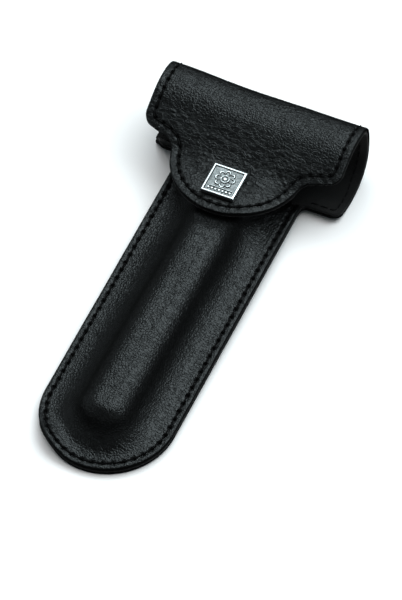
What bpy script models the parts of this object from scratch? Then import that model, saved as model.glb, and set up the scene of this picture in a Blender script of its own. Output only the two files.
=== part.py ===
"""T-shaped leather case for a safety razor, lying on its back.

The back, the roll that holds the razor's head, and the flap are cut from one
leather. A moulded front is sewn on the back and makes the handle's pouch. A
square metal badge on the flap's tongue hides a press stud.

Case frame, in metres: X runs across, +Y to the roll, +Z out of the front.
Y = 0 is the lower edge of the roll's two arms, Z = 0 the pouch's flat back.
The case lies on the roll and on the pouch's end, so the frame is tilted a little.
"""
import math

import bmesh
import bpy
from mathutils import Vector

MM = 0.001

# Outline of the case
HEAD_WIDTH = 60.0 * MM
POUCH_WIDTH = 38.6 * MM
POUCH_LENGTH = 104.4 * MM
ARM_CORNER_RADIUS = 3.0 * MM
NOTCH_RADIUS = 1.5 * MM

# Leather, from the outside in
LEATHER = 1.0 * MM
LINING = 0.6 * MM
LAYER_GAP = 0.15 * MM

# Roll around the razor's head
ROLL_DEPTH = 22.9 * MM
ROLL_TOP = 18.25 * MM
ROLL_DROP = 3.6 * MM
ROLL_MIDDLE = 11.5 * MM
ROLL_BOTTOM_Y = 9.0 * MM
ROLL_CREST_Y = 14.0 * MM
ROLL_SQUARENESS = 2.5
DROP_START_Y = -5.0 * MM

# Fold that the flap turns on
FOLD_ANGLE = math.radians(38.0)
FOLD_GAP = 0.3 * MM
FOLD_LAND = 0.6 * MM

# Flap and its tongue
SHOULDER_Y = 1.6 * MM
SHOULDER_SLOPE = 0.28
SHOULDER_CORNER_RADIUS = 3.5 * MM
TONGUE_REACH = 18.8 * MM
TONGUE_RADIUS = 19.5 * MM
TONGUE_NOTCH_RADIUS = 4.0 * MM
TONGUE_DROOP = 1.0 * MM
DROOP_END_Y = 3.0 * MM

# Moulded front of the pouch
HANDLE_DIAMETER = 9.6 * MM
HANDLE_SLACK = 0.2 * MM
HANDLE_END_Y = -88.0 * MM
FLANGE_WIDTH = 3.2 * MM
NECK_HEIGHT = 5.4 * MM
NECK_EDGE_RADIUS = 4.0 * MM
BULGE_START_Y = -27.0 * MM
MOUTH_Y = -1.0 * MM
MOUTH_DIP = 2.5 * MM

# Press stud and badge
STUD_Y = -9.3 * MM
SNAP_HEIGHT = 2.5 * MM
STUD_HEAD_RADIUS = 1.5 * MM
STUD_BASE_RADIUS = 3.4 * MM
STUD_BASE_THICKNESS = 0.45 * MM
STUD_TOP = 1.7 * MM
SNAP_CLEARANCE = 0.8 * MM
SOCKET_RADIUS = 4.1 * MM
SOCKET_WALL = 0.5 * MM
SPRING_WIRE_RADIUS = 0.25 * MM
RIVET_RADIUS = 0.8 * MM
RIVET_FLANGE_RADIUS = 3.0 * MM
RIVET_FLANGE_THICKNESS = 0.4 * MM
METAL_GAP = 0.15 * MM
BADGE_SIZE = 9.9 * MM
BADGE_THICKNESS = 1.3 * MM
BADGE_POST_RADIUS = 1.45 * MM

# Thread
THREAD_RADIUS = 0.25 * MM
POUCH_SEAM_INSET = 1.9 * MM
FLAP_SEAM_INSET = 2.4 * MM
SEAM_END_GAP = 3.0 * MM

# Heights above the pouch's back, added up from the layers
BACK_STACK = LEATHER + LAYER_GAP + LINING
FLANGE_TOP = BACK_STACK + LAYER_GAP + LEATHER
BULGE_TOP = BACK_STACK + HANDLE_SLACK + HANDLE_DIAMETER + LEATHER
SEAT_TOP = BACK_STACK + NECK_HEIGHT + LEATHER
FLAP_STACK = LEATHER + LAYER_GAP + LINING
TONGUE_TOP = SEAT_TOP + SNAP_HEIGHT + FLAP_STACK
SEAT_RADIUS = STUD_BASE_RADIUS + 1.0 * MM
BADGE_SEAT_END_Y = STUD_Y + BADGE_SIZE / 2 + 0.5 * MM
MARGIN = 1.5 * MM

COLORS = {
    "leather": ((0.012, 0.012, 0.013), 0.45, 0.0),
    "lining": ((0.020, 0.019, 0.018), 0.70, 0.0),
    "thread": ((0.010, 0.010, 0.010), 0.60, 0.0),
    "badge": ((0.42, 0.43, 0.44), 0.35, 1.0),
    "steel": ((0.60, 0.60, 0.60), 0.25, 1.0),
}


# ---------------------------------------------------------------- collections

def start_empty():
    for obj in list(bpy.data.objects):
        bpy.data.objects.remove(obj, do_unlink=True)


def collection(name):
    made = bpy.data.collections.new(name)
    bpy.context.scene.collection.children.link(made)
    return made


start_empty()
CASE = collection("razor_case")
CUTTERS = collection("cutters")
CASE_FRAME = bpy.data.objects.new("case_frame", None)
CASE.objects.link(CASE_FRAME)


def material(finish, name):
    color, roughness, metallic = COLORS[finish]
    made = bpy.data.materials.new(name)
    made.use_nodes = True
    shader = made.node_tree.nodes["Principled BSDF"]
    shader.inputs["Base Color"].default_value = (*color, 1.0)
    shader.inputs["Roughness"].default_value = roughness
    shader.inputs["Metallic"].default_value = metallic
    return made


def part(name, data, finish):
    """Put a mesh or curve in the case as one of its pieces."""
    obj = bpy.data.objects.new(name, data)
    data.materials.append(material(finish, name + "_finish"))
    CASE.objects.link(obj)
    obj.parent = CASE_FRAME
    return obj


def cutter(name, data):
    obj = bpy.data.objects.new(name, data)
    CUTTERS.objects.link(obj)
    obj.parent = CASE_FRAME
    obj.hide_render = True
    obj.display_type = "WIRE"
    return obj


def boolean(obj, tool, operation):
    cut = obj.modifiers.new(operation.lower() + "_" + tool.name, "BOOLEAN")
    cut.operation = operation
    cut.object = tool
    cut.solver = "EXACT"


# ------------------------------------------------------------------- profiles

def smoothstep(t):
    t = min(max(t, 0.0), 1.0)
    return t * t * (3.0 - 2.0 * t)


def steps(low, high, count):
    """Evenly spaced values after low, up to and including high."""
    return [low + (high - low) * i / count for i in range(1, count + 1)]


def back_height(y):
    """The back dips from the pouch's plane to the bottom of the roll."""
    return -ROLL_DROP * smoothstep((y - DROP_START_Y) / (ROLL_BOTTOM_Y - DROP_START_Y))


def roll_lower(angle):
    """Rounded corner from the roll's bottom, at 0, to its back, at 90 degrees."""
    power = 2.0 / ROLL_SQUARENESS
    y = ROLL_BOTTOM_Y + (ROLL_DEPTH - ROLL_BOTTOM_Y) * math.sin(angle) ** power
    z = ROLL_MIDDLE - (ROLL_MIDDLE + ROLL_DROP) * max(math.cos(angle), 0.0) ** power
    return y, z


def roll_upper(angle):
    """Rounded corner from the roll's back, at 0, to its crest, at 90 degrees."""
    power = 2.0 / ROLL_SQUARENESS
    y = ROLL_CREST_Y + (ROLL_DEPTH - ROLL_CREST_Y) * max(math.cos(angle), 0.0) ** power
    z = ROLL_MIDDLE + (ROLL_TOP - ROLL_MIDDLE) * math.sin(angle) ** power
    return y, z


def flap_height(y):
    """The flap falls from the roll's crest to the flat seat under the badge."""
    run = (y - BADGE_SEAT_END_Y) / (ROLL_CREST_Y - BADGE_SEAT_END_Y)
    rise = smoothstep(max(run, 0.0) ** 0.85)
    return TONGUE_TOP + (ROLL_TOP - TONGUE_TOP) * rise


def fold_point(distance):
    """A point on the roll's tangent at the fold, this far up from it.

    The back and the flap both end in a short straight stretch along it, so
    their ends stay parallel through all the layers.
    """
    fold = Vector(roll_upper(FOLD_ANGLE))
    near = Vector(roll_upper(FOLD_ANGLE + 0.01))
    return tuple(fold + (near - fold).normalized() * distance)


def back_profile():
    points = [(-POUCH_LENGTH - MARGIN, 0.0), (DROP_START_Y, 0.0)]
    points += [(y, back_height(y)) for y in steps(DROP_START_Y, ROLL_BOTTOM_Y, 8)]
    points += [roll_lower(a) for a in steps(0.0, math.pi / 2, 10)]
    points += [roll_upper(a) for a in steps(0.0, FOLD_ANGLE, 3)[:-1]]
    return points + [fold_point(-FOLD_LAND), fold_point(-FOLD_GAP)]


def flap_profile():
    points = [(-TONGUE_REACH - MARGIN, TONGUE_TOP)]
    points += [(y, TONGUE_TOP) for y in steps(-TONGUE_REACH - MARGIN, BADGE_SEAT_END_Y, 5)]
    points += [(y, flap_height(y)) for y in steps(BADGE_SEAT_END_Y, ROLL_CREST_Y, 8)]
    points += [roll_upper(a) for a in steps(math.pi / 2, FOLD_ANGLE, 4)[:-1]]
    return points + [fold_point(FOLD_LAND), fold_point(0.0)]


def flap_droop(x, y):
    """The tongue's sides hang down over the pouch."""
    side = (abs(x) - BADGE_SIZE * 0.7) / (TONGUE_RADIUS - BADGE_SIZE * 0.7)
    along = smoothstep((DROOP_END_Y - y) / (DROOP_END_Y - BADGE_SEAT_END_Y))
    return -TONGUE_DROOP * smoothstep(side) * along


def bulge_profile(x, top, floor, edge_radius, seat):
    """Height of the front across the pouch: a round top, then a hollow skirt.

    Both are arcs. The hollow one ends level on the flange, and its radius
    follows from that.
    """
    x = abs(x) - seat
    reach = POUCH_WIDTH / 2 - FLANGE_WIDTH - seat
    lower = floor - top + edge_radius
    hollow = (reach ** 2 - edge_radius ** 2 + lower ** 2) / (2.0 * (edge_radius - lower))
    meet = reach * edge_radius / (edge_radius + hollow)
    if x <= 0.0:
        return top
    if x < meet:
        return top - edge_radius + math.sqrt(edge_radius ** 2 - x ** 2)
    if x < reach:
        return floor + hollow - math.sqrt(hollow ** 2 - (reach - x) ** 2)
    return floor


def front_height(x, y):
    """Outer face of the moulded front."""
    floor = FLANGE_TOP + back_height(y)
    neck_end_y = STUD_Y - SEAT_RADIUS
    bulge = smoothstep((neck_end_y - y) / (neck_end_y - BULGE_START_Y))
    top = SEAT_TOP + (BULGE_TOP - SEAT_TOP) * bulge
    round_top = HANDLE_DIAMETER / 2 + LEATHER
    edge_radius = NECK_EDGE_RADIUS + (round_top - NECK_EDGE_RADIUS) * bulge
    seat = SEAT_RADIUS * (1.0 - bulge)
    beyond = max(HANDLE_END_Y - y, 0.0)
    half = POUCH_WIDTH / 2 - FLANGE_WIDTH
    beyond *= half / (POUCH_LENGTH - FLANGE_WIDTH + HANDLE_END_Y)
    return bulge_profile(math.hypot(x, beyond), top, floor, edge_radius, seat)


# ------------------------------------------------------------------- outlines

def arc(center, radius, start, end, count):
    """Points on an arc, both ends included; angles in radians."""
    points = []
    for i in range(count + 1):
        a = start + (end - start) * i / count
        points.append((center[0] + radius * math.cos(a), center[1] + radius * math.sin(a)))
    return points


def pouch_end(inset=0.0, count=24):
    """Half circle round the pouch's end, from its left side to its right side."""
    radius = POUCH_WIDTH / 2 - inset
    center = (0.0, -POUCH_LENGTH + POUCH_WIDTH / 2)
    return arc(center, radius, -math.pi, 0.0, count)


def mirrored(points):
    """The same points on the other side of X = 0, in reverse order."""
    return [(-x, y) for x, y in reversed(points)]


def back_outline():
    side = POUCH_WIDTH / 2
    far = HEAD_WIDTH / 2
    notch = arc((side + NOTCH_RADIUS, -NOTCH_RADIUS), NOTCH_RADIUS, math.pi, math.pi / 2, 4)
    corner = arc((far - ARM_CORNER_RADIUS, ARM_CORNER_RADIUS), ARM_CORNER_RADIUS,
                 -math.pi / 2, 0.0, 6)
    right = notch + corner + [(far, ROLL_DEPTH + MARGIN)]
    return pouch_end() + right + mirrored(right)


def front_outline():
    """The front's mouth is a shallow arc between its two upper corners."""
    half = POUCH_WIDTH / 2
    radius = (half ** 2 + MOUTH_DIP ** 2) / (2.0 * MOUTH_DIP)
    spread = math.asin(half / radius)
    center = (0.0, MOUTH_Y - MOUTH_DIP + radius)
    mouth = arc(center, radius, -math.pi / 2 + spread, -math.pi / 2 - spread, 10)
    return pouch_end() + mouth


def flap_side(inset=0.0):
    """Right side of the flap's outline, from the tongue to the shoulder's corner.

    The shoulder is a sloping line, and a hollow arc joins it to the tongue.
    The angle at which the tongue's own arc ends is returned too.
    """
    radius = TONGUE_RADIUS - inset
    hollow = TONGUE_NOTCH_RADIUS + inset
    corner = max(SHOULDER_CORNER_RADIUS - inset, 0.5 * MM)
    tongue_y = TONGUE_RADIUS - TONGUE_REACH
    slope = SHOULDER_SLOPE
    tilt = math.atan(slope)
    height = SHOULDER_Y - slope * HEAD_WIDTH / 2 + inset / math.cos(tilt)
    # Centre of the hollow arc: its radius below the line, and outside the tongue.
    level = height - hollow / math.cos(tilt) - tongue_y
    a = 1.0 + slope ** 2
    b = slope * level
    c = level ** 2 - (radius + hollow) ** 2
    x = (-b + math.sqrt(b * b - a * c)) / a
    y = level + tongue_y + slope * x
    leave = math.atan2(y - tongue_y, x)
    notch = arc((x, y), hollow, leave + math.pi, math.pi / 2 + tilt, 5)
    corner_x = HEAD_WIDTH / 2 - inset - corner
    corner_y = height + slope * corner_x + corner / math.cos(tilt)
    round_corner = arc((corner_x, corner_y), corner, -math.pi / 2 + tilt, 0.0, 5)
    return notch + round_corner, leave


def flap_outline(inset=0.0):
    """Left corner, tongue and right corner, without the far edge."""
    right, leave = flap_side(inset)
    tongue = arc((0.0, TONGUE_RADIUS - TONGUE_REACH), TONGUE_RADIUS - inset,
                 -math.pi - leave, leave, 24)
    return mirrored(right) + tongue[1:-1] + right


# --------------------------------------------------------------- making solids

def curve_as_mesh(curve_data, name):
    """A curve's evaluated shape as a mesh with its caps welded on."""
    holder = bpy.data.objects.new(name + "_curve", curve_data)
    CUTTERS.objects.link(holder)
    bpy.context.view_layer.update()
    shape = holder.evaluated_get(bpy.context.evaluated_depsgraph_get())
    mesh = bpy.data.meshes.new_from_object(shape)
    bpy.data.objects.remove(holder, do_unlink=True)
    work = bmesh.new()
    work.from_mesh(mesh)
    bmesh.ops.remove_doubles(work, verts=work.verts, dist=0.00001)
    bmesh.ops.recalc_face_normals(work, faces=work.faces)
    work.to_mesh(mesh)
    work.free()
    return mesh


def outline_cutter(name, points):
    """A tall prism over a flat outline."""
    data = bpy.data.curves.new(name, "CURVE")
    data.dimensions = "2D"
    data.fill_mode = "BOTH"
    data.extrude = 2.0 * (ROLL_TOP + ROLL_DROP)
    spline = data.splines.new("POLY")
    spline.points.add(len(points) - 1)
    for point, (x, y) in zip(spline.points, points):
        point.co = (x, y, 0.0, 1.0)
    spline.use_cyclic_u = True
    return cutter(name, curve_as_mesh(data, name))


def hole_cutter(name, y, radius, low, high):
    work = bmesh.new()
    bmesh.ops.create_cone(work, cap_ends=True, segments=24, radius1=radius, radius2=radius,
                          depth=high - low)
    mesh = bpy.data.meshes.new(name)
    work.to_mesh(mesh)
    work.free()
    obj = cutter(name, mesh)
    obj.location = (0.0, y, (low + high) / 2)
    return obj


def smooth(mesh):
    mesh.shade_smooth()
    mesh.set_sharp_from_angle(angle=math.radians(35.0))


def sheet(name, stations, columns, place, depth, thickness, finish, faces_down=False):
    """A leather sheet: an open surface, set in by depth and given a thickness.

    stations are the values along the sheet, and place(u, station) gives the
    point of its outer face, with u from -0.5 to 0.5 across it.
    """
    work = bmesh.new()
    rows = len(stations) - 1
    bmesh.ops.create_grid(work, x_segments=columns, y_segments=rows, size=0.5)
    for vert in work.verts:
        row = round((vert.co.y + 0.5) * rows)
        vert.co = place(vert.co.x, stations[row])
    if faces_down:
        bmesh.ops.reverse_faces(work, faces=work.faces)
    work.normal_update()
    for vert, normal in [(v, v.normal.copy()) for v in work.verts]:
        vert.co -= normal * depth
    mesh = bpy.data.meshes.new(name)
    work.to_mesh(mesh)
    work.free()
    smooth(mesh)
    obj = part(name, mesh, finish)
    skin = obj.modifiers.new("thickness", "SOLIDIFY")
    skin.thickness = thickness
    skin.offset = -1.0
    skin.use_even_offset = True
    return obj


def turned(name, profile, height, y, finish, closed=False):
    """A round piece turned from (radius, height) points, top to bottom outside."""
    mesh = bpy.data.meshes.new(name)
    points = [(r, 0.0, z) for r, z in profile]
    edges = [(i, i + 1) for i in range(len(points) - 1)]
    if closed:
        edges.append((len(points) - 1, 0))
    mesh.from_pydata(points, edges, [])
    obj = part(name, mesh, finish)
    obj.location = (0.0, y, height)
    screw = obj.modifiers.new("turn", "SCREW")
    screw.axis = "Z"
    screw.angle = math.tau
    screw.steps = 24
    screw.render_steps = 24
    screw.use_merge_vertices = True
    screw.merge_threshold = 0.00001
    return obj


def thread(name, points):
    """A seam's thread as one tube lying along its leather."""
    data = bpy.data.curves.new(name, "CURVE")
    data.dimensions = "3D"
    data.bevel_depth = THREAD_RADIUS
    data.bevel_resolution = 2
    data.use_fill_caps = True
    spline = data.splines.new("POLY")
    spline.points.add(len(points) - 1)
    for point, position in zip(spline.points, points):
        point.co = (*position, 1.0)
    return part(name, data, "thread")


# -------------------------------------------------------------------- leather

def across(width, shape):
    """Placer for a sheet whose stations are (y, z) points of a profile."""
    def place(u, station):
        x = u * width
        y, z = station
        return (x, y, z + shape(x, y))
    return place


def make_back():
    outline = outline_cutter("back_outline", back_outline())
    place = across(HEAD_WIDTH + 2.0 * MARGIN, lambda x, y: 0.0)
    layers = (("back_outer", 0.0, LEATHER, "leather"),
              ("back_lining", LEATHER + LAYER_GAP, LINING, "lining"))
    for name, depth, thickness, finish in layers:
        obj = sheet(name, back_profile(), 1, place, depth, thickness, finish, faces_down=True)
        boolean(obj, outline, "INTERSECT")


def make_flap():
    points = flap_outline() + [(HEAD_WIDTH / 2, ROLL_DEPTH + MARGIN),
                               (-HEAD_WIDTH / 2, ROLL_DEPTH + MARGIN)]
    outline = outline_cutter("flap_outline", points)
    hole = hole_cutter("badge_post_hole", STUD_Y, BADGE_POST_RADIUS + METAL_GAP,
                       SEAT_TOP, TONGUE_TOP + BADGE_THICKNESS)
    place = across(HEAD_WIDTH + 2.0 * MARGIN, flap_droop)
    layers = (("flap_outer", 0.0, LEATHER, "leather"),
              ("flap_lining", LEATHER + LAYER_GAP, LINING, "lining"))
    for name, depth, thickness, finish in layers:
        obj = sheet(name, flap_profile(), 18, place, depth, thickness, finish)
        boolean(obj, outline, "INTERSECT")
        boolean(obj, hole, "DIFFERENCE")


def front_stations():
    """Rows along the front, close together where it changes shape."""
    neck_end_y = STUD_Y - SEAT_RADIUS
    low = -POUCH_LENGTH - MARGIN
    rows = [low]
    rows += steps(low, HANDLE_END_Y, 9)
    rows += steps(HANDLE_END_Y, BULGE_START_Y, 3)
    rows += steps(BULGE_START_Y, neck_end_y, 5)
    rows += steps(neck_end_y, DROP_START_Y, 1)
    rows += steps(DROP_START_Y, MOUTH_Y + MARGIN, 4)
    return rows


def make_front():
    width = POUCH_WIDTH + 2.0 * MARGIN

    def place(u, y):
        x = u * width
        return (x, y, front_height(x, y))

    obj = sheet("pouch_front", front_stations(), 22, place, 0.0, LEATHER, "leather")
    boolean(obj, outline_cutter("front_outline", front_outline()), "INTERSECT")
    hole = hole_cutter("rivet_hole", STUD_Y, RIVET_RADIUS + METAL_GAP,
                       SEAT_TOP - 2.0 * LEATHER, SEAT_TOP + LEATHER)
    boolean(obj, hole, "DIFFERENCE")


# ----------------------------------------------------------- badge and stud

def make_badge():
    bottom = TONGUE_TOP + METAL_GAP
    work = bmesh.new()
    bmesh.ops.create_cube(work, size=1.0)
    bmesh.ops.scale(work, verts=work.verts, vec=(BADGE_SIZE, BADGE_SIZE, BADGE_THICKNESS))
    bmesh.ops.translate(work, verts=work.verts, vec=(0.0, 0.0, BADGE_THICKNESS / 2))
    mesh = bpy.data.meshes.new("badge_plate")
    work.to_mesh(mesh)
    work.free()
    obj = part("badge_plate", mesh, "badge")
    obj.location = (0.0, STUD_Y, bottom)
    edge = obj.modifiers.new("soft_edges", "BEVEL")
    edge.width = 0.25 * MM
    edge.segments = 2
    post = hole_cutter("badge_post", STUD_Y, BADGE_POST_RADIUS,
                       SEAT_TOP + SNAP_HEIGHT - METAL_GAP - SOCKET_WALL,
                       bottom + BADGE_THICKNESS / 2)
    boolean(obj, post, "UNION")


def make_snap():
    socket_top = SNAP_HEIGHT - METAL_GAP
    socket_low = STUD_BASE_THICKNESS + METAL_GAP + 0.2 * MM
    bore = STUD_HEAD_RADIUS + SNAP_CLEARANCE
    groove = bore + 2.0 * SPRING_WIRE_RADIUS + METAL_GAP
    spring_z = (socket_low + socket_top - SOCKET_WALL) / 2
    half_groove = SPRING_WIRE_RADIUS + METAL_GAP
    neck = BADGE_POST_RADIUS + METAL_GAP
    turned("snap_socket", [
        (neck, socket_top), (SOCKET_RADIUS - 0.3 * MM, socket_top),
        (SOCKET_RADIUS, socket_top - 0.3 * MM), (SOCKET_RADIUS, socket_low + 0.3 * MM),
        (SOCKET_RADIUS - 0.3 * MM, socket_low), (bore, socket_low),
        (bore, spring_z - half_groove), (groove, spring_z - half_groove),
        (groove, spring_z + half_groove), (bore, spring_z + half_groove),
        (bore, socket_top - SOCKET_WALL), (neck, socket_top - SOCKET_WALL),
    ], SEAT_TOP, STUD_Y, "steel", closed=True)

    work = bmesh.new()
    bmesh.ops.create_circle(work, cap_ends=False, segments=8, radius=SPRING_WIRE_RADIUS)
    circle = [(bore + SPRING_WIRE_RADIUS + v.co.x, v.co.y) for v in work.verts]
    work.free()
    turned("snap_spring", circle[::-1], SEAT_TOP + spring_z, STUD_Y, "steel", closed=True)

    rivet_bore = RIVET_RADIUS + METAL_GAP
    neck_radius = STUD_HEAD_RADIUS - 0.3 * MM
    turned("snap_stud", [
        (0.0, STUD_TOP), (STUD_HEAD_RADIUS - 0.4 * MM, STUD_TOP),
        (STUD_HEAD_RADIUS, STUD_TOP - 0.4 * MM), (STUD_HEAD_RADIUS, STUD_TOP - 0.7 * MM),
        (neck_radius, STUD_TOP - 1.0 * MM), (neck_radius, METAL_GAP + STUD_BASE_THICKNESS),
        (STUD_BASE_RADIUS, STUD_BASE_THICKNESS), (STUD_BASE_RADIUS, METAL_GAP),
        (rivet_bore, METAL_GAP), (rivet_bore, STUD_TOP - 0.6 * MM),
        (0.0, STUD_TOP - 0.6 * MM),
    ], SEAT_TOP, STUD_Y, "steel")

    flange_top = -LEATHER - METAL_GAP
    barrel_top = STUD_TOP - 0.6 * MM - METAL_GAP
    turned("stud_rivet", [
        (0.0, barrel_top), (RIVET_RADIUS, barrel_top), (RIVET_RADIUS, flange_top),
        (RIVET_FLANGE_RADIUS, flange_top),
        (RIVET_FLANGE_RADIUS - 0.2 * MM, flange_top - RIVET_FLANGE_THICKNESS),
        (0.0, flange_top - RIVET_FLANGE_THICKNESS),
    ], SEAT_TOP, STUD_Y, "steel")


# --------------------------------------------------------------------- thread

def offset_profile(points, distance):
    """A profile moved sideways, to the left of its direction when positive."""
    moved = []
    for i, point in enumerate(points):
        before = Vector(points[max(i - 1, 0)])
        after = Vector(points[min(i + 1, len(points) - 1)])
        ahead = (after - before).normalized()
        moved.append((point[0] - ahead.y * distance, point[1] + ahead.x * distance))
    return moved


def make_pouch_thread():
    lift = FLANGE_TOP + LAYER_GAP + THREAD_RADIUS
    x = POUCH_WIDTH / 2 - POUCH_SEAM_INSET
    top_y = MOUTH_Y - SEAM_END_GAP
    side = [(x, y, lift + back_height(y)) for y in steps(DROP_START_Y, top_y, 2)]
    side.insert(0, (x, DROP_START_Y, lift))
    left = [(-px, py, pz) for px, py, pz in reversed(side)]
    end = [(px, py, lift) for px, py in pouch_end(POUCH_SEAM_INSET, 20)]
    thread("pouch_seam_thread", left + end + side)


def make_arm_threads():
    """The two arms' seams, on the lining inside the roll."""
    lift = BACK_STACK + LAYER_GAP + THREAD_RADIUS
    profile = offset_profile(back_profile(), lift)
    x = HEAD_WIDTH / 2 - FLAP_SEAM_INSET
    start_y = FLAP_SEAM_INSET
    inner_x = POUCH_WIDTH / 2 + FLAP_SEAM_INSET
    low = back_height(start_y) + lift
    fold = Vector(profile[-1])
    rising = [p for p in profile if p[0] > start_y + 1.5 * MM or p[1] > ROLL_MIDDLE]
    rising = [p for p in rising if (Vector(p) - fold).length > SEAM_END_GAP]
    for side, sign in (("left", -1.0), ("right", 1.0)):
        points = [(sign * inner_x, start_y, low), (sign * (x - 1.0 * MM), start_y, low),
                  (sign * x, start_y + 1.0 * MM, back_height(start_y + 1.0 * MM) + lift)]
        points += [(sign * x, y, z) for y, z in rising]
        thread("arm_seam_thread_" + side, points)


def make_flap_thread():
    lift = LAYER_GAP + THREAD_RADIUS
    outline = flap_outline(FLAP_SEAM_INSET)
    top_y = max(y for x, y in outline)
    edge = [(x, y, flap_height(y) + flap_droop(x, y) + lift) for x, y in outline]
    profile = offset_profile(flap_profile(), lift)
    fold = Vector(profile[-1])
    rising = [p for p in profile if p[0] > top_y + 1.0 * MM]
    rising = [p for p in rising if (Vector(p) - fold).length > SEAM_END_GAP]
    x = HEAD_WIDTH / 2 - FLAP_SEAM_INSET
    right = [(x, y, z) for y, z in rising]
    left = [(-x, y, z) for y, z in reversed(rising)]
    thread("flap_seam_thread", left + edge + right)


# ----------------------------------------------------------------- put it down

def lowest_and_highest():
    bpy.context.view_layer.update()
    graph = bpy.context.evaluated_depsgraph_get()
    points = []
    for obj in CASE.objects:
        if obj.type == "EMPTY":
            continue
        shape = obj.evaluated_get(graph)
        mesh = shape.to_mesh()
        points += [shape.matrix_world @ v.co for v in mesh.vertices]
        shape.to_mesh_clear()
    low = Vector([min(p[i] for p in points) for i in range(3)])
    high = Vector([max(p[i] for p in points) for i in range(3)])
    return low, high


def lay_down():
    """Tilt the case onto its roll and its pouch's end, centred on the origin."""
    CASE_FRAME.rotation_euler.x = math.atan(ROLL_DROP / (ROLL_BOTTOM_Y + POUCH_LENGTH))
    low, high = lowest_and_highest()
    CASE_FRAME.location = (0.0, -(low.y + high.y) / 2, -low.z)


make_back()
make_front()
make_flap()
make_badge()
make_snap()
make_pouch_thread()
make_arm_threads()
make_flap_thread()
lay_down()
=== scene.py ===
"""Looks of a T-shaped leather case for a safety razor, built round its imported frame.

Shapes are worked out in the case frame, in millimetres: X across, +Y to the
roll, +Z out of the front, Z = 0 on the pouch's flat back. A leather is laid out
flat, as (x, t) with t along its length, and then placed on its surface.
"""
import math
import random

import bpy
import numpy as np
from mathutils import Matrix, Vector, kdtree, noise
from mathutils.geometry import delaunay_2d_cdt


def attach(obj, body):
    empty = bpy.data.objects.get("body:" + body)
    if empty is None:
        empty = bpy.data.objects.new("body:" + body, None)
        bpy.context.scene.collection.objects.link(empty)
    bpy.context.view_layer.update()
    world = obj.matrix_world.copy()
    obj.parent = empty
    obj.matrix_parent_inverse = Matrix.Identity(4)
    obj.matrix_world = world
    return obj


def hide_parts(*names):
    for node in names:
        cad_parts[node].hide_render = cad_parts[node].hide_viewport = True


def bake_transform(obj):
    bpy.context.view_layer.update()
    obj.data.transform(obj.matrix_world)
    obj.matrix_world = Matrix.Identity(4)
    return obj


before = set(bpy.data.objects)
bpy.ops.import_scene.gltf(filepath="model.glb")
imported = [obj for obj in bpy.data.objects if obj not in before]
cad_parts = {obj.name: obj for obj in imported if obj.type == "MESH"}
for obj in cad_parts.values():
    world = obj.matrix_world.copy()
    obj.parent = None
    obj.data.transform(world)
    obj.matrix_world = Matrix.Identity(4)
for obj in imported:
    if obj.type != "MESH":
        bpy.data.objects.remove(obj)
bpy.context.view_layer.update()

MM = 0.001

# Sizes that the CAD model has too
HEAD_WIDTH = 60.0
POUCH_WIDTH = 38.6
POUCH_LENGTH = 104.4
ARM_CORNER_RADIUS = 3.0
NOTCH_RADIUS = 1.5
LEATHER = 1.0
LINING = 0.6
LAYER_GAP = 0.15
ROLL_DEPTH = 22.9
ROLL_TOP = 18.25
ROLL_DROP = 3.6
ROLL_MIDDLE = 11.5
ROLL_BOTTOM_Y = 9.0
ROLL_CREST_Y = 14.0
ROLL_SQUARENESS = 2.5
SLOPE_POWER = 0.85
DROP_START_Y = -5.0
SHOULDER_Y = 1.6
SHOULDER_SLOPE = 0.28
SHOULDER_CORNER_RADIUS = 3.5
TONGUE_REACH = 18.8
TONGUE_RADIUS = 19.5
TONGUE_NOTCH_RADIUS = 4.0
TONGUE_DROOP = 1.0
DROOP_END_Y = 3.0
HANDLE_DIAMETER = 9.6
HANDLE_SLACK = 0.2
HANDLE_END_Y = -88.0
FLANGE_WIDTH = 3.2
NECK_HEIGHT = 5.4
NECK_EDGE_RADIUS = 4.0
BULGE_START_Y = -27.0
MOUTH_Y = -1.0
STUD_Y = -9.3
SNAP_HEIGHT = 2.5
STUD_BASE_RADIUS = 3.4
METAL_GAP = 0.15
BADGE_SIZE = 9.9
BADGE_THICKNESS = 1.3
BADGE_POST_RADIUS = 1.45
POUCH_SEAM_INSET = 1.9
FLAP_SEAM_INSET = 2.4

BACK_STACK = LEATHER + LAYER_GAP + LINING
FLANGE_TOP = BACK_STACK + LAYER_GAP + LEATHER
BULGE_TOP = BACK_STACK + HANDLE_SLACK + HANDLE_DIAMETER + LEATHER
SEAT_TOP = BACK_STACK + NECK_HEIGHT + LEATHER
TONGUE_TOP = SEAT_TOP + SNAP_HEIGHT + BACK_STACK
SEAT_RADIUS = STUD_BASE_RADIUS + 1.0
BADGE_SEAT_END_Y = STUD_Y + BADGE_SIZE / 2 + 0.5

# Where the case frame lies in the row frame, in millimetres
CASE_TILT = math.atan(ROLL_DROP / (ROLL_BOTTOM_Y + POUCH_LENGTH))
CASE_ORIGIN = (0.0, 40.958, 3.313)

# How this one case has gone out of shape. A pair whose name ends in RAMP holds the
# start and the length of a smooth rise.
# The pouch's rim is lifted at a turn, in degrees, about the middle of its round end
RIM_LIFT = 2.4
RIM_LIFT_TURN = -38.0
RIM_LIFT_SPREAD = 20.0
RIM_LIFT_RAMP = (0.64, 0.36)
# The left arm's corner is moved by (x, y, z)
ARM_CURL = (2.4, 3.0, 2.0)
CURL_LEFT_RAMP = (18.6, 6.0)
CURL_DOWN_RAMP = (-8.5, 8.0)
CURL_UP_RAMP = (-7.0, 5.0)
# The handle's ridge stands this far to the right at the neck and at the handle's end
RIDGE_SHIFT = (2.4, 1.2)
RIDGE_FLAT = 1.9
# The roll's left end is fuller by (y, z)
ROLL_FULLNESS = (0.4, 0.9)
FULL_LEFT_RAMP = (2.0, 26.0)
FULL_END = 14.0
FULL_FADE = 16.0
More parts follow.
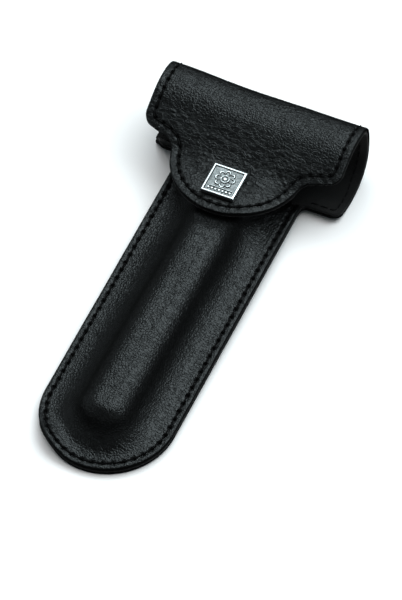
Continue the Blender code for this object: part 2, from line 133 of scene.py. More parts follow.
# The tongue droops past its level middle, and the flap's left shoulder corner too
LEVEL_HALF_WIDTH = BADGE_SIZE * 0.7
CORNER_DROOP = 1.0
CORNER_LEFT_RAMP = (20.0, 9.0)
CORNER_DOWN_RAMP = (-5.0, 9.0)

# Meshes
EDGE_ROUND = 0.42
RING_STEP = 0.32
TANGENT_REACH = 0.15
EDGE_INSETS = (0.0, 0.05, 0.14, 0.27, EDGE_ROUND, 0.8)
SEAM_INSETS = (-0.62, -0.38, -0.18, 0.0, 0.18, 0.38, 0.62, 1.0)
EDGE_PAINT_INSET = 0.2
LONG_ARC = 180
BACK_SPACING = 0.9
FRONT_SPACING = 0.62
FLAP_SPACING = 0.34
FAR = 99.0

# Seams: depths and heights, and half widths (across the seam, along it)
STITCH_PITCH = 2.85
SEAM_PULL = 0.15
SEAM_WIDTH = 0.40
LIP_HEIGHT = 0.05
LIP_OUT = 1.05
HOLE_DEPTH = 0.75
HOLE_SIZE = (0.44, 0.50)
PUCKER_DEPTH = 0.07
PUCKER_SIZE = (0.62, 0.8)

# The back and its thread are sunk a little, so that they stay above the floor
BACK_SUNK = 0.07
BACK_SEAM_PULL = 0.30
BACK_THREAD_SUNK = 0.27

# Unevenness of each leather, as (size, height, seed) of its ripples
FLAP_RIPPLES = ((3.0, 0.02, 5.0), (11.0, 0.10, 2.0))
FRONT_RIPPLES = ((13.0, 0.10, 3.0), (4.0, 0.015, 8.0))
BACK_RIPPLES = ((9.0, 0.05, 7.0),)

# Creases: their cells' (width, length), their depth, and the flap's share of them,
# which changes with the distance past the roll's crest and in patches
LONG_CREASE_SIZE = (6.5, 2.4)
LONG_CREASE_DEPTH = 0.20
SHORT_CREASE_SIZE = (3.4, 1.6)
SHORT_CREASE_DEPTH = 0.05
SHORT_CREASE_SHARE = 0.45
FRONT_CREASE_SIZE = (2.6, 1.9)
FRONT_CREASE_DEPTH = 0.05
CREASE_WIDTH = 0.10
CREASE_WANDER_SIZE = 5.0
CREASE_WOBBLE_SIZE = 1.3
CREASE_WOBBLE = 0.35
SLOPE_RAMP = (4.0, 7.0)
TONGUE_RAMP = (19.0, 8.0)
TONGUE_CALM = 0.65
REAR_CRACKLE = 0.25
PATCH_SIZE = 7.0
PATCH_MEAN = 0.85
PATCH_SWING = 1.1
PATCH_LIMITS = (0.15, 1.3)
FRONT_CRACKLE = 0.07
FRONT_PATCH_SIZE = 16.0
BACK_CRACKLE = 0.15

# Thread: along a stitch, f goes from -1 at one hole to 1 at the next
THREAD_RADIUS = 0.21
THREAD_SUNK = 0.09
THREAD_ARCH = 0.11
THREAD_DIP = 0.5
THREAD_LEAN = 0.10
THREAD_TAPER = 0.3
LEAN_SPREAD = (0.7, 1.3)
RADIUS_SPREAD = (0.94, 1.06)
INNER_THREAD_SUNK = 0.1
PLY_DEPTH = 0.13
PLY_TWIST = 5.5
STITCH_REACH = 0.47
STITCH_SECTIONS = 11
STITCH_SIDES = 10

# Pinches in the tongue beside the badge: (x, y) of both ends, and the depth
PINCHES = (((-5.1, -14.2), (-4.2, -18.2), 0.34),
           ((-6.1, -14.6), (-5.5, -17.8), 0.22),
           ((-4.1, -14.6), (-3.0, -18.4), 0.18))
PINCH_WIDTH = 0.32
PINCH_BEND = 0.25
PINCH_BEND_RATE = 1.7
PINCH_START_RAMP = (-0.1, 0.3)
PINCH_END_RAMP = (-1.4, 0.3)

# The badge: its face's grid, how deep its field lies, how bright its parts are
# polished, its walls and post, and its relief, measured from its middle
BADGE_STEPS = 118
BADGE_FIELD = 0.28
FIELD_POLISH = 0.34
NEAR_RELIEF_DULL = 1.2
WALL_POLISH = 0.45
FOOT_POLISH = 0.25
POST_POLISH = 0.8
FOOT_CHAMFER = (0.12, 0.2)
POST_SIDES = 28
POST_INTO_CAP = 0.1
POST_INTO_SOCKET = 0.5
POST_CHAMFER = 0.2
POST_DOME = (0.5, 0.05)
BORDER_WIDTH = 0.58
ROSETTE_Y = 0.75
PETAL_ROOT = 1.75
PETAL_REACH = 1.05
PETAL_PAIRS = 4.0
PETAL_POWER = 0.7
PETAL_LINE = 0.20
EYE_RING = 1.15
EYE_LINE = 0.15
EYE_RADIUS = 0.5
BAR_Y = -2.55
BAR_HALF = (3.6, 0.12)
BEADS = 7
BEAD_Y = -3.35
BEAD_PITCH = 1.08
BEAD_RADIUS = 0.33

random.seed(7)

CASE_TO_WORLD = (Matrix.Scale(MM, 4) @ Matrix.Translation(CASE_ORIGIN)
                 @ Matrix.Rotation(CASE_TILT, 4, "X"))


def to_world(point):
    return CASE_TO_WORLD @ Vector(point)


# ------------------------------------------------------------ camera and light

CAMERA_AZIMUTH = math.radians(27.307)
CAMERA_ELEVATION = math.radians(52.123)
CAMERA_ROLL = math.radians(-3.147)
CAMERA_DISTANCE = 1.46887
CAMERA_LENS = 321.08
CAMERA_AIM = Vector((8.546, -3.094, 8.0)) * MM

# Lights: name, direction from the case, distance and size in metres, and radiance
SOFTBOXES = (("back_softbox", (0.15, 0.48, 0.865), 1.3, (1.8, 0.8), 3.0),
             ("front_softbox", (0.1, -0.9, 0.42), 1.6, (3.0, 1.0), 0.15),
             ("left_softbox", (-0.92, -0.1, 0.40), 1.6, (2.2, 0.9), 0.40),
             ("right_softbox", (0.94, 0.0, 0.40), 1.6, (2.2, 0.9), 0.30))
FLOOR_LIGHT = ("floor_light", (0.1, 0.1, 1.0), 1.6, (2.0, 2.0), 2.2)
SOFTBOX_TINT = (0.86, 1.0, 1.04)
WHITE = (1.0, 1.0, 1.0)
WORLD_COLOR = (0.9, 0.95, 1.0, 1.0)
WORLD_STRENGTH = 0.03
FLOOR_HALF = 4.0


def make_camera():
    data = bpy.data.cameras.new("camera")
    data.lens = CAMERA_LENS
    data.sensor_width = 36.0
    data.clip_end = 20.0
    camera = bpy.data.objects.new("camera", data)
    bpy.context.scene.collection.objects.link(camera)
    back = Vector((math.sin(CAMERA_AZIMUTH) * math.cos(CAMERA_ELEVATION),
                   -math.cos(CAMERA_AZIMUTH) * math.cos(CAMERA_ELEVATION),
                   math.sin(CAMERA_ELEVATION)))
    level = Vector((math.cos(CAMERA_AZIMUTH), math.sin(CAMERA_AZIMUTH), 0.0))
    upright = back.cross(level)
    right = math.cos(CAMERA_ROLL) * level + math.sin(CAMERA_ROLL) * upright
    up = back.cross(right)
    turn = Matrix((right, up, back)).transposed().to_4x4()
    camera.matrix_world = Matrix.Translation(CAMERA_AIM + back * CAMERA_DISTANCE) @ turn
    bpy.context.scene.camera = camera


def softbox(name, toward, distance, size, radiance, glossy=True):
    """A rectangular light of an even brightness, facing the case."""
    data = bpy.data.lights.new(name, "AREA")
    data.shape = "RECTANGLE"
    data.color = SOFTBOX_TINT if glossy else WHITE
    data.size, data.size_y = size
    data.energy = radiance * math.pi * size[0] * size[1]
    light = bpy.data.objects.new(name, data)
    bpy.context.scene.collection.objects.link(light)
    toward = Vector(toward).normalized()
    light.location = toward * distance
    light.rotation_euler = toward.to_track_quat("Z", "Y").to_euler()
    light.visible_glossy = glossy


def make_light():
    for box in SOFTBOXES:
        softbox(*box)
    softbox(*FLOOR_LIGHT, glossy=False)
    world = bpy.data.worlds.new("studio")
    world.use_nodes = True
    background = world.node_tree.nodes["Background"]
    background.inputs["Color"].default_value = WORLD_COLOR
    background.inputs["Strength"].default_value = WORLD_STRENGTH
    bpy.context.scene.world = world
    bpy.context.scene.view_settings.view_transform = "Standard"


# -------------------------------------------------------------------- materials

# Sockets of a Mix node that blends colours
MIX_FACTOR, MIX_FIRST, MIX_SECOND, MIX_RESULT = 0, 6, 7, 2

# Most of a noise's values lie between these two
NOISE_LOW, NOISE_HIGH = 0.3, 0.7

# Heights of the leather's grain, in millimetres
FINE_HEIGHT = 0.03
PEBBLE_HEIGHT = 0.075
CRACK_DEPTH = 0.12
CREASE_DEPTH = 0.10
CREASE_ROUGHNESS = 0.3


class Look:
    """A new material with its Principled shader, and shorthands that add nodes to it."""

    def __init__(self, name):
        self.made = bpy.data.materials.new(name)
        self.made.use_nodes = True
        self.tree = self.made.node_tree
        self.shader = self.tree.nodes["Principled BSDF"]

    def add(self, kind, links=(), **settings):
        node = self.tree.nodes.new(kind)
        for key, value in settings.items():
            if key in node.inputs:
                node.inputs[key].default_value = value
            else:
                setattr(node, key, value)
        for socket, source in links:
            self.tree.links.new(source, node.inputs[socket])
        return node

    def link(self, source, socket):
        self.tree.links.new(source, self.shader.inputs[socket])

    def set(self, socket, value):
        self.shader.inputs[socket].default_value = value

    def attribute(self, name):
        """A value that a mesh holds at its points."""
        return self.add("ShaderNodeAttribute", attribute_name=name).outputs["Fac"]

    def rest(self):
        """Where a point lay before any pose, in millimetres of the case frame."""
        return self.add("ShaderNodeAttribute", attribute_name="rest").outputs["Vector"]

    def noise(self, place, **settings):
        return self.add("ShaderNodeTexNoise", [("Vector", place)], **settings)

    def cells(self, place, **settings):
        """Distance to the nearest border between cells."""
        node = self.add("ShaderNodeTexVoronoi", [("Vector", place)],
                        feature="DISTANCE_TO_EDGE", **settings)
        return node.outputs["Distance"]

    def math(self, operation, first, second, clamp=False):
        node = self.add("ShaderNodeMath", operation=operation, use_clamp=clamp)
        for socket, value in zip(node.inputs, (first, second)):
            if isinstance(value, float):
                socket.default_value = value
            else:
                self.tree.links.new(value, socket)
        return node.outputs[0]

    def span(self, source, low, high, to_low=0.0, to_high=1.0):
        """A value's range, mapped to another one and held there."""
        node = self.add("ShaderNodeMapRange", [("Value", source)])
        for socket, value in zip(("From Min", "From Max", "To Min", "To Max"),
                                 (low, high, to_low, to_high)):
            node.inputs[socket].default_value = value
        return node.outputs["Result"]

    def color(self, factor, first, second):
        """Base colour from the first to the second, as (red, green, blue)."""
        node = self.add("ShaderNodeMix", [(MIX_FACTOR, factor)], data_type="RGBA")
        node.inputs[MIX_FIRST].default_value = (*first, 1.0)
        node.inputs[MIX_SECOND].default_value = (*second, 1.0)
        self.link(node.outputs[MIX_RESULT], "Base Color")

    def bump(self, height, strength, distance):
        node = self.add("ShaderNodeBump", [("Height", height)], Strength=strength, Distance=distance)
        self.link(node.outputs["Normal"], "Normal")


def grain_height(look, place, fine, crackle, crease):
    """Height of the grain in millimetres: pebbles, fine noise, cracks and creases."""
    wander = look.noise(place, Scale=0.55, Detail=2.0)
    moved = look.add("ShaderNodeVectorMath", [(0, place), (1, wander.outputs["Color"])],
                     operation="ADD").outputs[0]
    pebbles = look.span(look.cells(moved, Scale=1.3, Randomness=0.95), 0.0, 0.30)
    pebbles = look.math("MULTIPLY", pebbles, look.span(crackle, 0.0, 1.0, 1.0, 0.45))

    drawn = look.add("ShaderNodeVectorMath", [(0, moved)], operation="MULTIPLY")
    drawn.inputs[1].default_value = (0.45, 1.3, 1.3)
    cracks = look.span(look.cells(drawn.outputs[0], Scale=0.6, Randomness=1.0), 0.0, 0.08)
    cracks = look.math("MULTIPLY", look.math("SUBTRACT", 1.0, cracks), crackle)

    height = look.math("MULTIPLY", fine, FINE_HEIGHT)
    height = look.math("ADD", height, look.math("MULTIPLY", pebbles, PEBBLE_HEIGHT))
    height = look.math("SUBTRACT", height, look.math("MULTIPLY", cracks, CRACK_DEPTH))
    return look.math("SUBTRACT", height, look.math("MULTIPLY", crease, CREASE_DEPTH))


def leather_material():
    """Black leather with a pebbled grain, which cracks and creases where it bends."""
    look = Look("black_grain_leather")
    place, crackle, crease = look.rest(), look.attribute("crackle"), look.attribute("crease")
    fine = look.noise(place, Scale=2.6, Detail=3.0, Roughness=0.6).outputs["Fac"]
    look.bump(grain_height(look, place, fine, crackle, crease), 1.0, MM)
    stain = look.noise(place, Scale=0.12, Detail=4.0).outputs["Fac"]
    look.color(stain, (0.0009, 0.0010, 0.0010), (0.0020, 0.0022, 0.0022))
    gloss = look.span(fine, NOISE_LOW, NOISE_HIGH, 0.29, 0.38)
    worn = look.math("MULTIPLY", crease, CREASE_ROUGHNESS)
    look.link(look.math("ADD", gloss, worn, clamp=True), "Roughness")
    look.set("Specular IOR Level", 0.5)
    return look.made


def edge_material():
    """Painted cut edges: matt black, a little rough where fibres show."""
    look = Look("black_edge_paint")
    fibres = look.noise(look.rest(), Scale=3.0, Detail=3.0).outputs["Fac"]
    look.bump(fibres, 0.6, 0.12 * MM)
    look.color(fibres, (0.0008, 0.0008, 0.0009), (0.002, 0.002, 0.002))
    look.link(look.span(fibres, NOISE_LOW, NOISE_HIGH, 0.5, 0.7), "Roughness")
    look.set("Specular IOR Level", 0.2)
    return look.made


def lining_material():
    """Black suede with a soft nap, lighter in patches."""
    look = Look("black_suede_lining")
    place = look.rest()
    nap = look.noise(place, Scale=4.0, Detail=4.0, Roughness=0.7).outputs["Fac"]
    patches = look.noise(place, Scale=0.18, Detail=3.0).outputs["Fac"]
    look.color(patches, (0.0015, 0.0015, 0.0015), (0.004, 0.0039, 0.0037))
    look.bump(nap, 0.8, 0.15 * MM)
    look.link(look.span(nap, NOISE_LOW, NOISE_HIGH, 0.75, 0.95), "Roughness")
    look.set("Sheen Weight", 0.12)
    look.set("Specular IOR Level", 0.25)
    return look.made


def thread_material():
    """Black waxed thread."""
    look = Look("black_waxed_thread")
    fibre = look.noise(look.rest(), Scale=7.0, Detail=2.0).outputs["Fac"]
    look.color(fibre, (0.001, 0.001, 0.0012), (0.005, 0.005, 0.005))
    look.bump(fibre, 0.7, 0.06 * MM)
    look.link(look.span(fibre, NOISE_LOW, NOISE_HIGH, 0.55, 0.75), "Roughness")
    look.set("Specular IOR Level", 0.12)
    return look.made


def badge_material():
    """Silver with dark oxide left in the hollows; raised lines are polished."""
    look = Look("antique_silver")
    mottle = look.noise(look.rest(), Scale=1.5, Detail=5.0, Roughness=0.65).outputs["Fac"]
    spots = look.span(mottle, 0.35, 0.65, -0.14, 0.14)
    shown = look.math("ADD", look.attribute("polish"), spots, clamp=True)
    look.color(shown, (0.05, 0.055, 0.055), (0.90, 0.92, 0.92))
    look.link(look.span(shown, 0.0, 1.0, 0.62, 0.30), "Roughness")
    look.bump(mottle, 0.5, 0.1 * MM)
    look.set("Metallic", 1.0)
    return look.made


def nickel_material():
    """Plated metal with fine scratches, placed by the node's own metres."""
    look = Look("nickel_plate")
    place = look.add("ShaderNodeTexCoord").outputs["Object"]
    scratches = look.noise(place, Scale=4200.0, Detail=4.0).outputs["Fac"]
    look.color(scratches, (0.50, 0.49, 0.46), (0.66, 0.65, 0.61))
    look.link(look.span(scratches, NOISE_LOW, NOISE_HIGH, 0.22, 0.40), "Roughness")
    look.bump(scratches, 0.4, 0.02 * MM)
    look.set("Metallic", 1.0)
    return look.made


def floor_material():
    """White paper."""
    look = Look("floor_paper")
    look.set("Base Color", (0.92, 0.92, 0.92, 1.0))
    look.set("Roughness", 0.9)
    look.set("Specular IOR Level", 0.1)
    return look.made


def make_floor():
    mesh = bpy.data.meshes.new("floor")
    corners = [(-1, -1), (1, -1), (1, 1), (-1, 1)]
    mesh.from_pydata([(x * FLOOR_HALF, y * FLOOR_HALF, 0.0) for x, y in corners], [], [(0, 1, 2, 3)])
    mesh.materials.append(floor_material())
    floor = bpy.data.objects.new("floor", mesh)
    bpy.context.scene.collection.objects.link(floor)
    floor.visible_glossy = False


# ------------------------------------------------------------------- surfaces

def smoothstep(t):
    t = np.clip(t, 0.0, 1.0)
    return t * t * (3.0 - 2.0 * t)


def ramp(value, start, length):
    """0 up to the start, 1 past its length, and a smooth rise between."""
    return smoothstep((value - start) / length)


def bell(distance, width, power=2):
    return np.exp(-(distance / width) ** power)


def lengths_along(points):
    return np.concatenate([[0.0], np.cumsum(np.linalg.norm(np.diff(points, axis=0), axis=1))])


def back_height(y):
    return -ROLL_DROP * ramp(y, DROP_START_Y, ROLL_BOTTOM_Y - DROP_START_Y)


def flap_height(y):
    run = (y - BADGE_SEAT_END_Y) / (ROLL_CREST_Y - BADGE_SEAT_END_Y)
    return TONGUE_TOP + (ROLL_TOP - TONGUE_TOP) * smoothstep(np.clip(run, 0.0, 1.0) ** SLOPE_POWER)


def roll_profile(step=0.25, count=400, spare=3.0):
    """(y, z) of the roll and the flap, evenly spaced from the roll's bottom on."""
    power = 2.0 / ROLL_SQUARENESS
    a = np.linspace(0.0, math.pi / 2, count)
    sine, cosine = np.sin(a) ** power, np.clip(np.cos(a), 0.0, 1.0) ** power
    lower = (ROLL_BOTTOM_Y + (ROLL_DEPTH - ROLL_BOTTOM_Y) * sine,
             ROLL_MIDDLE - (ROLL_MIDDLE + ROLL_DROP) * cosine)
    upper = (ROLL_CREST_Y + (ROLL_DEPTH - ROLL_CREST_Y) * cosine,
             ROLL_MIDDLE + (ROLL_TOP - ROLL_MIDDLE) * sine)
    y = np.linspace(ROLL_CREST_Y, -TONGUE_REACH - spare, count)
    points = np.concatenate([np.stack(lower, 1), np.stack(upper, 1)[1:],
                             np.stack((y, flap_height(y)), 1)[1:]])
    length = lengths_along(points)
    t = np.arange(0.0, length[-1], step)
    return t, np.interp(t, length, points[:, 0]), np.interp(t, length, points[:, 1])


PROFILE_T, PROFILE_Y, PROFILE_Z = roll_profile()
CREST = int(np.argmax(PROFILE_Z))


def flap_length_at(y):
    """Distance along the roll's profile at which the flap is at y."""
    return np.interp(-y, -PROFILE_Y[CREST:], PROFILE_T[CREST:])


def flap_droop(x, y):
    """The tongue hangs down at both sides, and the flap at its left shoulder corner."""
    side = ramp(np.abs(x), LEVEL_HALF_WIDTH, TONGUE_RADIUS - LEVEL_HALF_WIDTH)
    along = ramp(-y, -DROOP_END_Y, DROOP_END_Y - BADGE_SEAT_END_Y)
    corner = ramp(-x, *CORNER_LEFT_RAMP) * ramp(-y, *CORNER_DOWN_RAMP)
    return -TONGUE_DROOP * side * along - CORNER_DROOP * corner


def bulge_profile(x, top, floor, edge_radius, seat):
    """Height at x: a flat seat, a round crown and a hollow skirt that meets the flange."""
    x = np.abs(x) - seat
    reach = POUCH_WIDTH / 2 - FLANGE_WIDTH - seat
    lower = floor - top + edge_radius
    hollow = (reach ** 2 - edge_radius ** 2 + lower ** 2) / (2.0 * (edge_radius - lower))
    meet = reach * edge_radius / (edge_radius + hollow)
    crown = top - edge_radius + np.sqrt(np.clip(edge_radius ** 2 - x ** 2, 0.0, None))
    skirt = floor + hollow - np.sqrt(np.clip(hollow ** 2 - (reach - x) ** 2, 0.0, None))
    return np.where(x <= 0.0, top, np.where(x < meet, crown, np.where(x < reach, skirt, floor)))


def leaning(x, shift):
    """x as it would be on an even ridge, for a ridge whose crown stands off the middle."""
    reach = POUCH_WIDTH / 2 - FLANGE_WIDTH
    return (x - shift) * reach / np.where(x < shift, reach + shift, reach - shift)


def front_height(x, y):
    """The pouch's front: a neck under the stud, the handle's ridge and its round end."""
    floor = FLANGE_TOP + back_height(y)
    neck_end_y = STUD_Y - SEAT_RADIUS
    bulge = ramp(-y, -neck_end_y, neck_end_y - BULGE_START_Y)
    top = SEAT_TOP + (BULGE_TOP - SEAT_TOP) * bulge
    round_top = HANDLE_DIAMETER / 2 + LEATHER
    edge_radius = NECK_EDGE_RADIUS + (round_top - NECK_EDGE_RADIUS) * bulge
    seat = SEAT_RADIUS + (RIDGE_FLAT - SEAT_RADIUS) * bulge
    beyond = np.clip(HANDLE_END_Y - y, 0.0, None)
    beyond = beyond * (POUCH_WIDTH / 2 - FLANGE_WIDTH) / (POUCH_LENGTH - FLANGE_WIDTH + HANDLE_END_Y)
    shift = np.interp(y, (HANDLE_END_Y, BULGE_START_Y), RIDGE_SHIFT[::-1]) * bulge
    x = leaning(x, shift)
    return bulge_profile(np.hypot(x, beyond), top, floor, edge_radius, seat)


def rim_lift(x, y):
    """The pouch's lower left rim has lifted a little."""
    half = POUCH_WIDTH / 2
    up = y + POUCH_LENGTH - half
    turn = np.degrees(np.arctan2(x, -up))
    reach = np.hypot(x, up) / half
    return RIM_LIFT * bell(turn - RIM_LIFT_TURN, RIM_LIFT_SPREAD) * ramp(reach, *RIM_LIFT_RAMP)


def back_points(x, t):
    """The back, with its left arm's free corner curled up and in."""
    curl = ramp(-x, *CURL_LEFT_RAMP) * ramp(-t, *CURL_DOWN_RAMP) * ramp(t, *CURL_UP_RAMP)
    return np.stack((x + ARM_CURL[0] * curl, t + ARM_CURL[1] * curl,
                     back_height(t) + rim_lift(x, t) + ARM_CURL[2] * curl), 1)


def front_points(x, t):
    return np.stack((x, t, front_height(x, t) + rim_lift(x, t)), 1)


def roll_points(x, t):
    """The roll and flap; the roll is a little fuller at its left end."""
    y = np.interp(t, PROFILE_T, PROFILE_Y)
    z = np.interp(t, PROFILE_T, PROFILE_Z)
    around = ramp(t, FULL_END, FULL_FADE) * ramp(-t, -PROFILE_T[CREST] - FULL_END, FULL_FADE)
    full = ramp(-x, *FULL_LEFT_RAMP) * around
    return np.stack((x, y + ROLL_FULLNESS[0] * full,
                     z + flap_droop(x, y) + ROLL_FULLNESS[1] * full), 1)


def placed(points, x, t, height, side, step=0.3):
    """Points at a height off a surface; side is 1 where cross(x, t) faces out."""
    across = points(x + step, t) - points(x - step, t)
    along = points(x, t + step) - points(x, t - step)
    normal = np.cross(across, along) * side
    normal /= np.linalg.norm(normal, axis=1)[:, None]
    return points(x, t) + normal * np.asarray(height)[..., None]


def on_back(x, t, height):
    return placed(back_points, x, t, height, -1.0)


def on_front(x, t, height):
    return placed(front_points, x, t, height, 1.0)


def on_roll(x, t, height):
    return placed(roll_points, x, t, height, -1.0)


# -------------------------------------------------------------------- outlines

def arc(center, radius, start, end, count=60):
    a = np.linspace(start, end, count)
    return [(center[0] + radius * math.cos(v), center[1] + radius * math.sin(v)) for v in a]


def mirrored(points):
    return [(-x, y) for x, y in reversed(points)]


def pouch_outline(top_y):
    """Left side, round end and right side of the pouch."""
    half = POUCH_WIDTH / 2
    end = arc((0.0, -POUCH_LENGTH + half), half, -math.pi, 0.0, LONG_ARC)
    return [(-half, top_y)] + end + [(half, top_y)]


def back_outline():
    """Pouch and arms, as far as the roll's bottom."""
    half, far = POUCH_WIDTH / 2, HEAD_WIDTH / 2
    notch = arc((half + NOTCH_RADIUS, -NOTCH_RADIUS), NOTCH_RADIUS, math.pi, math.pi / 2)
    corner = arc((far - ARM_CORNER_RADIUS, ARM_CORNER_RADIUS), ARM_CORNER_RADIUS,
                 -math.pi / 2, 0.0)
    right = notch + corner + [(far, ROLL_BOTTOM_Y)]
    return mirrored(right) + pouch_outline(-NOTCH_RADIUS)[1:-1] + right


def flap_outline():
    """The roll's left side, the flap's shoulders and tongue, and the right side.

    The notch beside the tongue is a circle that touches the tongue's circle and the
    sloping shoulder; its center (x, y) is the root of a quadratic.
    """
    tongue_y = TONGUE_RADIUS - TONGUE_REACH
    tilt = math.atan(SHOULDER_SLOPE)
    height = SHOULDER_Y - SHOULDER_SLOPE * HEAD_WIDTH / 2
    level = height - TONGUE_NOTCH_RADIUS / math.cos(tilt) - tongue_y
    a = 1.0 + SHOULDER_SLOPE ** 2
    b = SHOULDER_SLOPE * level
    c = level ** 2 - (TONGUE_RADIUS + TONGUE_NOTCH_RADIUS) ** 2
    x = (-b + math.sqrt(b * b - a * c)) / a
    y = level + tongue_y + SHOULDER_SLOPE * x
    leave = math.atan2(y - tongue_y, x)
    notch = arc((x, y), TONGUE_NOTCH_RADIUS, leave + math.pi, math.pi / 2 + tilt)
    corner_x = HEAD_WIDTH / 2 - SHOULDER_CORNER_RADIUS
    corner_y = height + SHOULDER_SLOPE * corner_x + SHOULDER_CORNER_RADIUS / math.cos(tilt)
    corner = arc((corner_x, corner_y), SHOULDER_CORNER_RADIUS, -math.pi / 2 + tilt, 0.0)
    tongue = arc((0.0, tongue_y), TONGUE_RADIUS, -math.pi - leave, leave, LONG_ARC)
    flat = mirrored(notch + corner) + tongue[1:-1] + notch + corner
    laid = [(px, float(flap_length_at(py))) for px, py in flat]
    return [(-HEAD_WIDTH / 2, 0.0)] + laid + [(HEAD_WIDTH / 2, 0.0)]


class Edge:
    """An outline in even steps, with the direction that leads inwards and its seam."""

    def __init__(self, points, inside, seam, step=RING_STEP):
        points = np.array(points)
        apart = np.linalg.norm(np.diff(points, axis=0), axis=1) > 1e-6
        points = points[np.concatenate([[True], apart])]
        length = lengths_along(points)
        even = np.linspace(0.0, length[-1], int(round(length[-1] / step)) + 1)

        def at(where):
            return np.stack([np.interp(where, length, points[:, i]) for i in (0, 1)], 1)

        ahead = at(even + TANGENT_REACH) - at(even - TANGENT_REACH)
        ahead /= np.linalg.norm(ahead, axis=1)[:, None]
        self.points = at(even)
        self.inside = inside
        self.inward = np.stack((-ahead[:, 1], ahead[:, 0]), 1) * inside
        self.seam = np.full(len(even), seam) if np.isscalar(seam) else seam(self.points)
        self.along = lengths_along(self.ring(self.seam))
        self.stitches = int(round(self.along[-1] / STITCH_PITCH))
        self.pitch = self.along[-1] / self.stitches

    def ring(self, inset):
        return self.points + self.inward * np.broadcast_to(inset, len(self.points))[:, None]

    def at(self, along, values):
        """Values of the outline's steps, at distances along the seam."""
        return np.stack([np.interp(along, self.along, column) for column in values.T], -1)


# ---------------------------------------------------------------------- layouts

def inside(points, loop):
    """Which points lie inside a closed loop."""
    found = np.zeros(len(points), bool)
    x, y = points[:, 0], points[:, 1]
    for (x0, y0), (x1, y1) in zip(loop, np.roll(loop, -1, axis=0)):
        if y0 == y1:
            continue
        crosses = (y0 > y) != (y1 > y)
        found ^= crosses & (x < (x1 - x0) * (y - y0) / (y1 - y0) + x0)
    return found


def hexagonal(low, high, spacing, looseness=0.12):
    """A loose hexagonal grid of points over a box."""
    rows = np.arange(low[1], high[1], spacing * 0.866)
    points = []
    for i, y in enumerate(rows):
        x = np.arange(low[0] + (i % 2) * spacing / 2, high[0], spacing)
        points.append(np.stack((x, np.full_like(x, y)), 1))
    points = np.concatenate(points)
    shake = np.array([[random.uniform(-1.0, 1.0), random.uniform(-1.0, 1.0)] for _ in points])
    return points + shake * spacing * looseness


def off_hole(points, hole):
    """Which points lie outside a round hole, given as its center and radius, or None."""
    if hole is None:
        return np.ones(len(points), bool)
    return np.linalg.norm(points - np.array(hole[0]), axis=1) > hole[1]


def line(start, end, spacing):
    """Points between two others, without those."""
    count = max(int(np.linalg.norm(end - start) / spacing), 2)
    return np.array([start + (end - start) * i / count for i in range(1, count)])


def rim_of(hole, spacing):
    """Points round a hole."""
    if hole is None:
        return np.zeros((0, 2))
    (x, y), radius = hole
    count = max(int(math.tau * radius / (spacing * 0.7)), 12)
    a = np.linspace(0.0, math.tau, count, endpoint=False)
    return np.stack((x + radius * np.cos(a), y + radius * np.sin(a)), 1)


def filling(loop, rim, spacing, hole, nearest=0.55):
    """Grid points inside a loop and outside its hole, none of them close to either."""
    grid = hexagonal(loop.min(0), loop.max(0), spacing)
    grid = grid[inside(grid, loop)]
    grid = grid[off_hole(grid, hole)]
    borders = np.concatenate([loop, rim])
    tree = kdtree.KDTree(len(borders))
    for i, (x, y) in enumerate(borders):
        tree.insert((x, y, 0.0), i)
    tree.balance()
    apart = [tree.find((x, y, 0.0))[2] > spacing * nearest for x, y in grid]
    return grid[np.array(apart)]


def closed_links(start, count):
    return [(start + i, start + (i + 1) % count) for i in range(count)]


def triangulated(points, loop_count, rim_count, hole):
    """Triangles over points that begin with an outer loop and the rim of a hole."""
    links = closed_links(0, loop_count) + closed_links(loop_count, rim_count)
    faces, source = delaunay_2d_cdt([Vector(p) for p in points], links, [], 1, 1e-5)[2:4]
    faces = [[source[v][0] for v in face] for face in faces]
    kept = off_hole(np.array([np.mean(points[face], axis=0) for face in faces]), hole)
    return [face for face, keep in zip(faces, kept) if keep]


def strips(rings, count, forward):
    """Quads between each ring of an edge and the next."""
    faces = []
    for k in range(rings - 1):
        for i in range(count - 1):
            a, b = k * count + i, (k + 1) * count + i
            quad = [a, a + 1, b + 1, b]
            faces.append(quad if forward else quad[::-1])
    return faces


class Layout:
    """A flat leather: rings of vertices inside its edge, and triangles inside those.

    Each vertex knows its inset from the edge, how far it is away from the seam's line
    and, along that line, from_hole: how far it is from the nearest stitch hole.
    """

    def __init__(self, edge, insets, spacing, hole=None):
        rings = [edge.ring(inset) for inset in insets]
        count, last = len(edge.points), rings[-1]
        loop = np.concatenate([last, line(last[-1], last[0], spacing)])
        rim = rim_of(hole, spacing)
        flat = np.concatenate([loop, rim, filling(loop, rim, spacing, hole)])
        first = (len(rings) - 1) * count
        self.points = np.concatenate(rings[:-1] + [flat])
        self.faces = [[first + v for v in face]
                      for face in triangulated(flat, len(loop), len(rim), hole)]
        self.faces += strips(len(rings), count, edge.inside > 0)

        far = np.full(len(self.points) - len(rings) * count, FAR)
        self.inset = np.concatenate([np.broadcast_to(v, count) for v in insets] + [far])
        self.away = np.concatenate([v - edge.seam for v in insets] + [far])
        steps = np.concatenate([edge.along / edge.pitch] * len(rings) + [far * 0.0])
        self.from_hole = np.abs(steps - np.round(steps)) * edge.pitch

    @property
    def x(self):
        return self.points[:, 0]

    @property
    def t(self):
        return self.points[:, 1]


def rings_for(edge):
    """Insets of the rings: close together on the rounded edge and by the seam."""
    return list(EDGE_INSETS) + [edge.seam + inset for inset in SEAM_INSETS]


def edge_drop(inset):
    """How far a rounded edge falls below the leather's face."""
    into = EDGE_ROUND - np.minimum(inset, EDGE_ROUND)
    return EDGE_ROUND - np.sqrt(np.clip(EDGE_ROUND ** 2 - into ** 2, 0.0, None))


# --------------------------------------------------------------------- building

def ripples(x, t, size, seed):
    """Soft noise over a leather, from about -1 to 1."""
    return np.array([noise.noise((a / size, b / size, seed)) for a, b in zip(x, t)])


